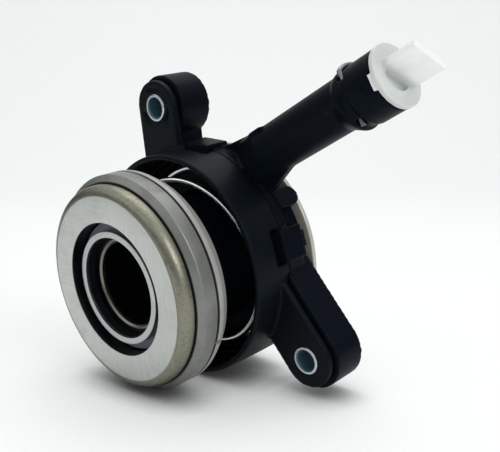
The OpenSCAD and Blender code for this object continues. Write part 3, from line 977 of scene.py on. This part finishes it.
class Tree(Graph):
    """A Geometry Nodes tree with named sizes, which makes a plain mesh."""

    def __init__(self, name: str, numbers: Mapping[str, float], finish: Material) -> None:
        """Starts a tree and declares its inputs.

        Args:
            name: Name of the tree.
            numbers: Sizes by name, which self.sizes then gives as values of the tree.
            finish: Material of the result.
        """
        super().__init__(bpy.data.node_groups.new(name, "GeometryNodeTree"))
        self.tree.interface.new_socket("Geometry", in_out="OUTPUT", socket_type="NodeSocketGeometry")
        self.given: dict[str, Any] = {}
        for label, given in {**numbers, "Material": finish}.items():
            kind = "NodeSocketMaterial" if label == "Material" else "NodeSocketFloat"
            socket = self.tree.interface.new_socket(label, in_out="INPUT", socket_type=kind)
            self.given[socket.identifier] = given
        inlet = self.node("NodeGroupInput")
        self.sizes = {label: self.value(inlet, label) for label in numbers}
        self.finish = self.value(inlet, "Material")

    def build(self, name: str, geometry: Socket) -> Piece:
        """Ends the tree and makes its result.

        Args:
            name: Name of the piece.
            geometry: What the tree has made.

        Returns:
            The piece, with a plain mesh.
        """
        real = self.out("GeometryNodeRealizeInstances", {0: geometry})
        dressed = self.out("GeometryNodeSetMaterial", {0: real, "Material": self.finish})
        self.node("NodeGroupOutput", {0: dressed})
        piece = new_object(name, bpy.data.meshes.new(name))
        modifier = piece.modifiers.new("tree", "NODES")
        modifier.node_group = self.tree
        for identifier, given in self.given.items():
            modifier[identifier] = given
        return settle(piece)

    def wire(self, edges: Socket, sides: int) -> Socket:
        """Sweeps a round wire along a line of edges, with the size "Wire radius".

        Args:
            edges: The line, as a mesh.
            sides: Steps round the wire.

        Returns:
            The wire's mesh, capped and smooth.
        """
        path = self.out("GeometryNodeMeshToCurve", {0: edges})
        section = {"Resolution": sides, "Radius": self.sizes["Wire radius"]}
        ring = self.out("GeometryNodeCurvePrimitiveCircle", section)
        sweep = {"Curve": path, "Profile Curve": ring, "Fill Caps": True}
        return self.out("GeometryNodeSetShadeSmooth", {0: self.out("GeometryNodeCurveToMesh", sweep)})


@dataclass
class Housing:
    """The moulded housing with its spring cup, steel bushes and static seal."""

    bush_r: float = 4.75
    bush_round: float = 0.25
    bush_turn: int = 64
    ear_front: float = 37.6
    ear_rear: float = 53.5
    stand: float = 0.3
    rim_r: float = 39.65
    relief_r: float = 64.0
    relief_span: Pair = (12.0, 47.5)
    relief_steps: int = 24
    relief_front: float = 37.0
    relief_room: float = 6.0
    relief_least: float = 1.0
    relief_rear: float = 47.0
    relief_slope: float = 0.5
    relief_s: float = 46.0
    relief_lean: float = 0.6
    web_s: Pair = (26.0, 52.0)
    web_depth: Pair = (46.5, 50.0)
    web_h: Pair = (11.2, 8.2)
    body_softening: Softening = Softening(0.4, 4, 0.28)
    cup_softening: Softening = Softening(0.45, 4, 0.6)

    def bush(self, name: str, centre: Pair) -> Piece:
        """A rolled steel bush with broken edges.

        Args:
            name: Name of the piece.
            centre: Where its axis stands, X and Z in millimetres.

        Returns:
            The bush.
        """
        front, rear = self.ear_front - self.stand, self.ear_rear + self.stand
        section = [
            Corner(HOLE_R, front, HOLE_ROUND),
            Corner(self.bush_r, front, self.bush_round),
            Corner(self.bush_r, rear, self.bush_round),
            Corner(HOLE_R, rear, HOLE_ROUND),
        ]
        return lathe(name, section, self.bush_turn, centre)

    def relief_ends(self, s: float, z: float) -> Pair:
        """Finds how deep the relief reaches at a point of the tube's frame.

        Args:
            s: Distance along the tube.
            z: Height over the tube's line.

        Returns:
            Depths of its front and of its slanting rear.
        """
        front = self.relief_front - self.relief_room
        rear = self.relief_front + self.relief_slope * (self.relief_s + self.relief_lean * z - s)
        return front, min(max(rear, front + self.relief_least), self.relief_rear)

    def relief(self) -> Piece:
        """Makes the space that is hollowed out between the rim and the front of the tube's root.

        Returns:
            The space, as a solid to cut with.
        """
        mesh = bpy.data.meshes.new("root_relief")
        first, last = self.relief_span
        with editing(mesh) as made:
            sides = []
            for r in (self.rim_r, self.relief_r):
                pairs = []
                for k in range(self.relief_steps + 1):
                    a = math.radians(first + (last - first) * k / self.relief_steps)
                    s, z = r * math.cos(a), r * math.sin(a) - INLET.offset
                    pairs.append([made.verts.new(INLET.place(s, y, z)) for y in self.relief_ends(s, z)])
                sides.append(list(zip(*pairs)))
            (front_in, rear_in), (front_out, rear_out) = sides
            loop = (front_in, front_out, rear_out, rear_in)
            for here, there in zip(loop, (*loop[1:], loop[0])):
                for k in range(self.relief_steps):
                    made.faces.new((here[k], here[k + 1], there[k + 1], there[k]))
            for k in (0, self.relief_steps):
                made.faces.new([edge[k] for edge in loop])
            bmesh.ops.recalc_face_normals(made, faces=made.faces)
        return new_object("root_relief", mesh)

    def web(self) -> list[Vector]:
        """Corners of the low web that stands behind the relief."""
        spots = [(s, y, z) for s, top in zip(self.web_s, self.web_h) for y in self.web_depth for z in (0.0, top)]
        return [INLET.place(*spot) for spot in spots]

    def build(self, dresser: Dresser) -> None:
        """Builds and dresses the housing's pieces.

        Args:
            dresser: Puts the pieces on the frame.
        """
        nodes = dresser.nodes
        shell = self.body_softening.apply(nodes["housing"], "housing_moulding", self.relief(), self.web())
        dresser.fit(shell, "housing", Body.HOUSING, BLACK_MOULDING)
        cup = self.cup_softening.apply(nodes["spring_cup"], "spring_cup_moulding")
        dresser.fit(cup, "spring_cup", Body.HOUSING, CUP_MOULDING)
        for name, centre in zip(("upper_bush", "lower_bush"), BOLTS):
            dresser.fit(self.bush(f"{name}_rolled", centre), name, Body.HOUSING, ZINC)
        dresser.paint_node("static_seal", SEAL_RUBBER)


@dataclass
class GuideSleeve:
    """The pressed steel sleeve on which the piston slides, with its flange on the gearbox."""

    bore_r: float = 14.3
    wall: float = 1.3
    chamfer: float = 0.6
    flange_r: float = 38.5
    flange_t: float = 1.8

    def build(self, dresser: Dresser) -> None:
        """Builds and dresses the sleeve.

        Args:
            dresser: Puts the pieces on the frame.
        """
        seat = OVERALL - self.flange_t
        section = [
            Corner(self.bore_r, SLEEVE_FRONT + self.chamfer, 0.2),
            Corner(self.bore_r + self.chamfer, SLEEVE_FRONT, 0.1),
            Corner(self.bore_r + self.wall, SLEEVE_FRONT, 0.1),
            Corner(self.bore_r + self.wall, seat),
            Corner(self.flange_r, seat, 0.5),
            Corner(self.flange_r, OVERALL, 0.5),
            Corner(self.bore_r, OVERALL, 0.8),
        ]
        sleeve = lathe("guide_sleeve_pressed", section)
        dresser.fit(sleeve, "guide_sleeve", Body.HOUSING, SLEEVE_STEEL)


@dataclass
class ReleasePiston:
    """The annular piston with its lip seal, retaining ring and centring spring."""

    bore_r: float = 15.68
    piston_r: float = 19.92
    nose_r: float = 17.0
    neck_r: float = 17.6
    flange_r: float = 22.5
    nose_front: float = 2.7
    nose_chamfer: float = 2.0
    nose_land: float = 0.3
    ring_front: float = 1.7
    ring_rear: float = 4.6
    ring_r: float = 19.2
    flange_front: float = 8.1
    flange_rear: float = 10.6
    rear: float = 33.9

    def build(self, dresser: Dresser) -> None:
        """Builds and dresses the piston's pieces.

        Args:
            dresser: Puts the pieces on the frame.
        """
        section = [
            Corner(self.bore_r, self.nose_front + self.nose_chamfer, 0.4),
            Corner(self.nose_r - self.nose_land, self.nose_front),
            Corner(self.nose_r, self.nose_front),
            Corner(self.nose_r, self.ring_rear),
            Corner(self.neck_r, self.ring_rear),
            Corner(self.neck_r, self.flange_front),
            Corner(self.flange_r, self.flange_front, 0.3),
            Corner(self.flange_r, self.flange_rear, 0.3),
            Corner(self.piston_r, self.flange_rear),
            Corner(self.piston_r, self.rear),
            Corner(self.bore_r, self.rear),
        ]
        piston = lathe("piston_turned", section)
        dresser.fit(piston, "piston", Body.PISTON, PISTON_PLASTIC)
        section = [
            Corner(self.nose_r, self.ring_front, 0.25),
            Corner(self.ring_r, self.ring_front, 0.3),
            Corner(self.ring_r, self.ring_rear),
            Corner(self.nose_r, self.ring_rear),
        ]
        ring = lathe("retaining_ring_turned", section)
        dresser.fit(ring, "retaining_ring", Body.PISTON, RING_STEEL)
        dresser.paint_node("piston_lip_seal", SEAL_RUBBER)
        dresser.paint_node("centring_spring", SPRING_WIRE)


@dataclass
class ReleaseBearing:
    """The angular ball bearing: carrier, race, shell, split ring, seal, balls, cage and contact ring."""

    edge_round: float = 3.15
    seam: float = 4.5
    skirt_r: float = 33.6
    contact_rear: float = 6.2
    pitch_r: float = 29.5
    row_depth: float = 8.2
    ball_r: float = 3.175
    ball_steps: int = 16
    balls: int = 20
    groove_r: float = 3.275
    groove_steps: int = 6
    shell_r: float = 36.8
    shell_in_r: float = 34.3
    shell_lip: float = 0.3
    shell_chamfer: float = 1.8
    split_band: float = 14.0
    split_rear: float = 17.2
    split_taper: float = 1.9
    split_angle: float = -25.0
    split_w: float = 1.4
    carrier_bore_r: float = 18.3
    carrier_lip_r: float = 21.9
    carrier_r: float = 24.9
    carrier_in_r: float = 23.2
    carrier_front: float = 4.9
    carrier_step: float = 6.7
    carrier_pocket: float = 7.3
    race_rear: float = 16.5
    seat_r: float = 33.2
    seat_rear: float = 18.0

    def groove(self) -> list[Corner]:
        """Draws the ball groove where it opens into the contact ring's rear.

        Returns:
            Its corners, from the outside in.
        """
        reach = math.acos((self.row_depth - self.contact_rear) / self.groove_r)
        turns = [reach * k / self.groove_steps for k in range(self.groove_steps, -self.groove_steps - 1, -1)]
        r, middle = self.groove_r, self.row_depth
        return [Corner(self.pitch_r + r * math.sin(t), middle - r * math.cos(t)) for t in turns]

    def contact_ring(self) -> Piece:
        """Turns the contact ring.

        Returns:
            The ring with its ground face, round edge and ball groove.
        """
        outer = FACE_R + self.edge_round
        section = [
            Corner(FACE_BORE_R, 0.0, 0.4),
            Corner(outer, 0.0, self.edge_round),
            Corner(outer, self.seam, 0.2),
            Corner(self.skirt_r, self.seam),
            Corner(self.skirt_r, self.contact_rear),
            *self.groove(),
            Corner(FACE_BORE_R, self.contact_rear, 0.3),
        ]
        return lathe("contact_ring_ground", section, FINE_TURN)

    def shell(self) -> Piece:
        """Turns the fixed shell.

        Returns:
            The shell with its chamfered front.
        """
        section = [
            Corner(self.shell_in_r, SHELL_FRONT),
            Corner(self.shell_in_r + self.shell_lip, SHELL_FRONT, 0.1),
            Corner(self.shell_r, SHELL_FRONT + self.shell_chamfer, 0.7),
            Corner(self.shell_r, SHELL_REAR, 0.1),
            Corner(self.shell_in_r, SHELL_REAR),
        ]
        return lathe("bearing_shell_drawn", section, FINE_TURN)

    def split_ring(self) -> Piece:
        """Turns the split ring.

        Returns:
            The ring that stands behind the shell, with its gap.
        """
        section = [
            Corner(self.shell_in_r, SPLIT_FRONT),
            Corner(self.shell_r, SPLIT_FRONT, 0.1),
            Corner(self.shell_r, self.split_band, 1.2),
            Corner(self.shell_r - self.split_taper, self.split_rear, 0.4),
            Corner(self.shell_in_r, self.split_rear),
        ]
        gap = math.degrees(self.split_w / self.shell_r)
        return lathe("split_ring_rolled", section, FINE_TURN, gap=(self.split_angle, gap))

    def carrier(self) -> Piece:
        """Turns the carrier.

        Returns:
            The carrier, which holds the fixed race and seats the spring.
        """
        section = [
            Corner(self.carrier_bore_r, self.carrier_front, 0.3),
            Corner(self.carrier_lip_r, self.carrier_front, 0.3),
            Corner(self.carrier_lip_r, self.carrier_step),
            Corner(self.carrier_r, self.carrier_step, 0.2),
            Corner(self.carrier_r, self.race_rear),
            Corner(self.seat_r, self.race_rear, 0.3),
            Corner(self.seat_r, self.seat_rear, 0.4),
            Corner(self.carrier_in_r, self.seat_rear, 0.4),
            Corner(self.carrier_in_r, self.carrier_pocket),
            Corner(self.carrier_bore_r, self.carrier_pocket),
        ]
        return lathe("bearing_carrier_moulded", section)

    def ball_row(self, finish: Material) -> Piece:
        """The balls, set on their circle by a tree.

        Args:
            finish: Material of the balls.

        Returns:
            All the balls, as one piece.
        """
        numbers = {"Ball radius": self.ball_r * MM, "Pitch radius": self.pitch_r * MM, "Count": float(self.balls)}
        tree = Tree("ball_row", numbers, finish)
        ring = {"Vertices": tree.sizes["Count"], "Radius": tree.sizes["Pitch radius"]}
        move = {
            "Geometry": tree.out("GeometryNodeMeshCircle", ring),
            "Translation": (0.0, (self.row_depth - OVERALL) * MM, 0.0),
            "Rotation": (math.pi / 2, 0.0, 0.0),
        }
        placed = tree.out("GeometryNodeTransform", move)
        steps = self.ball_steps
        sphere = {"Segments": 2 * steps, "Rings": steps, "Radius": tree.sizes["Ball radius"]}
        ball = tree.out("GeometryNodeMeshUVSphere", sphere)
        smooth = tree.out("GeometryNodeSetShadeSmooth", {0: ball})
        row = tree.out("GeometryNodeInstanceOnPoints", {"Points": placed, "Instance": smooth})
        return tree.build("bearing_ball_row", row)

    def build(self, dresser: Dresser) -> None:
        """Builds and dresses the bearing's pieces.

        Args:
            dresser: Puts the pieces on the frame.
        """
        contact = self.contact_ring()
        dresser.fit(contact, "bearing_contact_ring", Body.CONTACT, CONTACT_STEEL)
        dresser.fit(self.shell(), "bearing_shell", Body.PISTON, SHELL_STEEL)
        dresser.fit(self.split_ring(), "bearing_split_ring", Body.PISTON, SPLIT_STEEL)
        dresser.fit(self.carrier(), "bearing_carrier", Body.PISTON, CARRIER_PLASTIC)
        row = self.ball_row(dresser.material(BALL_STEEL))
        dresser.fit(row, "bearing_balls", Body.BALLS, BALL_STEEL)
        dresser.paint_node("bearing_race", RACE_STEEL)
        dresser.paint_node("bearing_front_seal", SEAL_RUBBER)
        dresser.paint_node("bearing_cage", CAGE_PLASTIC)


@dataclass
class PreloadSpring:
    """The conical wire spring that keeps the bearing on the clutch, with closed ends."""

    wire_d: float = 2.2
    front_r: float = 27.6
    rear_r: float = 32.0
    front: float = 18.0
    rear: float = 44.0
    open_turns: float = 1.3
    end_turns: float = 0.8
    start: float = 256.0
    points: int = 480
    sides: int = 14
    travel: float = 14.0

    def coil(self, finish: Material) -> Piece:
        """The spring, coiled by a tree.

        Args:
            finish: Material of the wire.

        Returns:
            The spring at its length with the bearing run out.
        """
        numbers = {
            "Wire radius": self.wire_d / 2 * MM,
            "Front radius": self.front_r * MM,
            "Rear radius": self.rear_r * MM,
            "Front place": (self.front + self.wire_d / 2 - OVERALL) * MM,
            "Rear place": (self.rear - self.wire_d / 2 - OVERALL) * MM,
            "Open turns": self.open_turns,
            "End turns": self.end_turns,
            "Start angle": math.radians(self.start),
        }
        tree = Tree("preload_spring", numbers, finish)
        _, front_r, rear_r, front, rear, open_turns, end_turns, start = tree.sizes.values()
        line = tree.out("GeometryNodeMeshLine", {"Count": self.points})
        index = tree.value(tree.node("GeometryNodeInputIndex"))
        along = index * ((self.open_turns + 2 * self.end_turns) / (self.points - 1))
        share = ((along - end_turns) / open_turns).clamp()
        angle = start - along * (2 * math.pi)
        radius = front_r + (rear_r - front_r) * share
        depth = front + (rear - front) * share
        path = tree.join(radius * angle.cosine(), depth, radius * angle.sine())
        bent = tree.out("GeometryNodeSetPosition", {"Geometry": line, "Position": path})
        return tree.build("preload_spring_coiled", tree.wire(bent, self.sides))

    def build(self, dresser: Dresser) -> None:
        """Builds and dresses the spring.

        Args:
            dresser: Puts the pieces on the frame.
        """
        spring = self.coil(dresser.material(SPRING_WIRE))
        dresser.fit(spring, "preload_spring", Body.HOUSING, SPRING_WIRE)
        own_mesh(spring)


@dataclass
class Connector:
    """The wire clip and dust cap at the mouth of the inlet tube."""

    clip_s: float = 87.5
    wire_d: float = 1.6
    groove_r: float = 8.8
    gap: float = 0.3
    leg_y: float = 5.2
    leg_l: float = 8.2
    bow_steps: int = 12
    sides: int = 16
    cap_softening: Softening = Softening(0.22, 4, 0.4)

    def clip_path(self) -> list[Vector]:
        """Draws the middle line of the clip's wire.

        Returns:
            Its points, from one leg's end over the bow to the other's.
        """
        bow_r = self.groove_r + self.gap + self.wire_d / 2
        half = math.asin(self.leg_y / bow_r)
        bow = [half - 2 * half * k / self.bow_steps for k in range(self.bow_steps + 1)]
        points = [(self.leg_y, -self.leg_l)]
        points += [(bow_r * math.sin(t), bow_r * math.cos(t)) for t in bow]
        points += [(-self.leg_y, -self.leg_l)]
        return [INLET.place(self.clip_s, INLET.depth + y, z) for y, z in points]

    def clip(self, finish: Material) -> Piece:
        """The clip, swept along its path by a tree.

        Args:
            finish: Material of the wire.

        Returns:
            The clip.
        """
        tree = Tree("connector_clip", {"Wire radius": self.wire_d / 2 * MM}, finish)
        points = self.clip_path()
        joined = tree.node("GeometryNodeJoinGeometry")
        for first, second in zip(points, points[1:]):
            ends = {"Count": 2, "Start Location": first, "Offset": second}
            edge = tree.node("GeometryNodeMeshLine", ends, {"mode": "END_POINTS"})
            tree.feed(joined.inputs[0], edge.outputs[0])
        weld = {"Geometry": joined.outputs[0], "Distance": WELD}
        merged = tree.out("GeometryNodeMergeByDistance", weld)
        return tree.build("connector_clip_bent", tree.wire(merged, self.sides))

    def build(self, dresser: Dresser) -> None:
        """Builds and dresses the clip and the cap.

        Args:
            dresser: Puts the pieces on the frame.
        """
        clip = self.clip(dresser.material(CLIP_WIRE))
        dresser.fit(clip, "connector_clip", Body.CLIP, CLIP_WIRE)
        cap = self.cap_softening.apply(dresser.nodes["dust_cap"], "dust_cap_moulded")
        dresser.fit(cap, "dust_cap", Body.CAP, CAP_POLYTHENE)


@dataclass(frozen=True)
class Lamp:
    """An area lamp: where it stands, what it points at, its width and its power."""

    name: str
    place: Triple
    target: Triple
    width: float
    power: float

    def build(self) -> None:
        """Puts the lamp into the scene."""
        light = bpy.data.lights.new(self.name, "AREA")
        light.size = self.width
        light.energy = self.power
        made = new_object(self.name, light)
        made.location = self.place
        made.rotation_mode = "QUATERNION"
        made.rotation_quaternion = (Vector(self.target) - Vector(self.place)).to_track_quat("-Z", "Y")


@dataclass
class Studio:
    """Pale sweep, soft lamps, white surroundings and the camera."""

    camera_place: Triple = (0.196423, -0.190285, 0.077907)
    right: Triple = (0.72504, 0.68205, -0.0955)
    down: Triple = (0.10763, -0.24918, -0.96246)
    forward: Triple = (-0.68024, 0.68754, -0.25408)
    focal_px: float = 756.655
    picture_w: float = 500.0
    sensor: float = 36.0
    nearest: float = 0.01
    floor_up: Triple = (0.0, 0.138, 0.990)
    floor_height: float = -0.0437
    sweep_start: float = 0.55
    sweep_r: float = 0.5
    sweep_h: float = 1.6
    sweep_w: float = 0.62
    sweep_steps: int = 16
    sheet_front: float = 0.6
    floor_colour: Colour = (0.885, 0.9, 0.894)
    floor_rough: float = 0.6
    paper_shade: float = 0.985
    paper_share: float = 0.4
    glow: Colour = (0.98, 1.0, 0.992)
    glow_share: float = 0.27
    # Painted contact shadow on the floor: reach, ramp, darkness and samples.
    contact: float = 0.014
    contact_shadow_range: Pair = (0.1, 0.95)
    contact_shade: float = 0.06
    contact_shadow_samples: int = 8
    fill: float = 0.86
    surround: Colour = (0.9, 0.92, 0.915)
    horizon: float = 0.05
    horizon_range: Pair = (0.15, 0.75)
    lamps: tuple[Lamp, ...] = (
        Lamp("key_softbox", (-0.15, 0.25, 0.75), (0.0, 0.0, 0.0), 0.65, 2.0),
        Lamp("front_fill", (-0.45, -0.6, 0.45), (0.0, -0.03, 0.0), 0.6, 0.5),
        Lamp("side_fill", (0.7, 0.0, 0.4), (0.03, -0.01, 0.0), 0.45, 2.2),
    )

    def floor_frame(self) -> Matrix:
        """Finds the floor's frame.

        Returns:
            The frame, with X across the view, Y away from the camera and Z up.
        """
        up = Vector(self.floor_up).normalized()
        away = Vector(self.forward)
        away = (away - up * away.dot(up)).normalized()
        turn = Matrix((away.cross(up), away, up)).transposed().to_4x4()
        return Matrix.Translation(up * self.floor_height) @ turn

    @staticmethod
    def seen(graph: Graph) -> Value:
        """Tells what the camera sees from what only lights.

        Args:
            graph: Tree of a material or of the world.

        Returns:
            1 for what is seen straight, in a reflection or through the cap, and 0 for the rest.
        """
        path = graph.node("ShaderNodeLightPath")
        straight, mirrored, through = (
            graph.value(path, f"Is {kind} Ray") for kind in ("Camera", "Glossy", "Transmission")
        )
        return (straight + mirrored + through).clamp()

    def paper(self) -> Material:
        """Makes the floor's paper.

        Returns:
            A material that glows a little for the camera, with a painted contact shadow where the part touches
            it.
        """
        made = bpy.data.materials.new("floor_paper")
        graph = blank(made)
        place = graph.node("ShaderNodeTexCoord").outputs["Object"]
        shaded = tuple(c * self.paper_shade for c in self.floor_colour)
        pale = graph.mix(graph.noise(place, PAPER_SHADE) * self.paper_share, self.floor_colour, shaded)
        # Painted contact shadow: paper and glow darken where ambient occlusion finds the part close.
        samples = {"samples": self.contact_shadow_samples}
        near = graph.node("ShaderNodeAmbientOcclusion", {"Distance": self.contact}, samples)
        open_air = graph.value(near, "AO").ramp(*self.contact_shadow_range)
        dark = tuple(c * self.contact_shade for c in self.floor_colour)
        matt = {"Base Color": graph.mix(open_air, dark, pale), "Roughness": self.floor_rough}
        paper = graph.out("ShaderNodeBsdfPrincipled", matt)
        glow = graph.out("ShaderNodeEmission", {"Color": graph.mix(open_air, dark, self.glow)})
        share = self.seen(graph) * self.glow_share
        shader = graph.out("ShaderNodeMixShader", {0: share, 1: paper, 2: glow})
        graph.node("ShaderNodeOutputMaterial", {"Surface": shader})
        return made

    def build_floor(self) -> None:
        """Makes the pale floor, which sweeps up behind the object."""
        profile = [(-self.sheet_front, 0.0), (self.sweep_start, 0.0)]
        for k in range(1, self.sweep_steps + 1):
            t = math.pi / 2 * k / self.sweep_steps
            profile.append((self.sweep_start + self.sweep_r * math.sin(t), self.sweep_r * (1 - math.cos(t))))
        profile.append((self.sweep_start + self.sweep_r, self.sweep_h))
        frame = self.floor_frame()
        verts = [frame @ Vector((x, y, z)) for y, z in profile for x in (-self.sweep_w, self.sweep_w)]
        faces = [(2 * i, 2 * i + 1, 2 * i + 3, 2 * i + 2) for i in range(len(profile) - 1)]
        mesh = bpy.data.meshes.new("floor_sweep")
        mesh.from_pydata(verts, [], faces)
        mesh.shade_smooth()
        mesh.materials.append(self.paper())
        new_object("floor_sweep", mesh)

    def build_world(self) -> None:
        """Makes the surroundings: even fill for light, and for reflections a pale top over a dark horizon."""
        world = bpy.data.worlds.new("studio")
        bpy.context.scene.world = world
        graph = blank(world)
        seen = self.seen(graph)
        mirrored = graph.value(graph.node("ShaderNodeLightPath"), "Is Glossy Ray")
        up = graph.split(graph.node("ShaderNodeTexCoord").outputs["Generated"])[2]
        sky = up.ramp(*self.horizon_range) * (1.0 - self.horizon) + self.horizon
        strength = (seen - mirrored).clamp() + mirrored * sky + (1.0 - seen) * self.fill
        light = {"Color": (*self.surround, 1.0), "Strength": strength}
        graph.node("ShaderNodeOutputWorld", {"Surface": graph.out("ShaderNodeBackground", light)})

    def build_camera(self) -> None:
        """Makes the camera at the picture's viewing angle."""
        data = bpy.data.cameras.new("camera")
        data.sensor_width = self.sensor
        data.lens = self.focal_px / self.picture_w * self.sensor
        data.clip_start = self.nearest
        camera = new_object("camera", data)
        axes = Matrix((self.right, -Vector(self.down), -Vector(self.forward))).transposed().to_4x4()
        camera.matrix_world = Matrix.Translation(self.camera_place) @ axes
        bpy.context.scene.camera = camera

    def build(self) -> None:
        """Builds the studio."""
        bpy.context.scene.view_settings.view_transform = "Standard"
        self.build_camera()
        self.build_floor()
        self.build_world()
        for lamp in self.lamps:
            lamp.build()


def main() -> None:
    """Loads the frame, sets the studio, and builds each sub-assembly on the frame."""
    logging.basicConfig(level=logging.INFO, format="%(message)s")
    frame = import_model()
    Studio().build()
    dresser = Dresser(frame)
    for assembly in (Housing(), GuideSleeve(), ReleasePiston(), ReleaseBearing(), PreloadSpring(), Connector()):
        assembly.build(dresser)


if __name__ == "__main__":
    main()
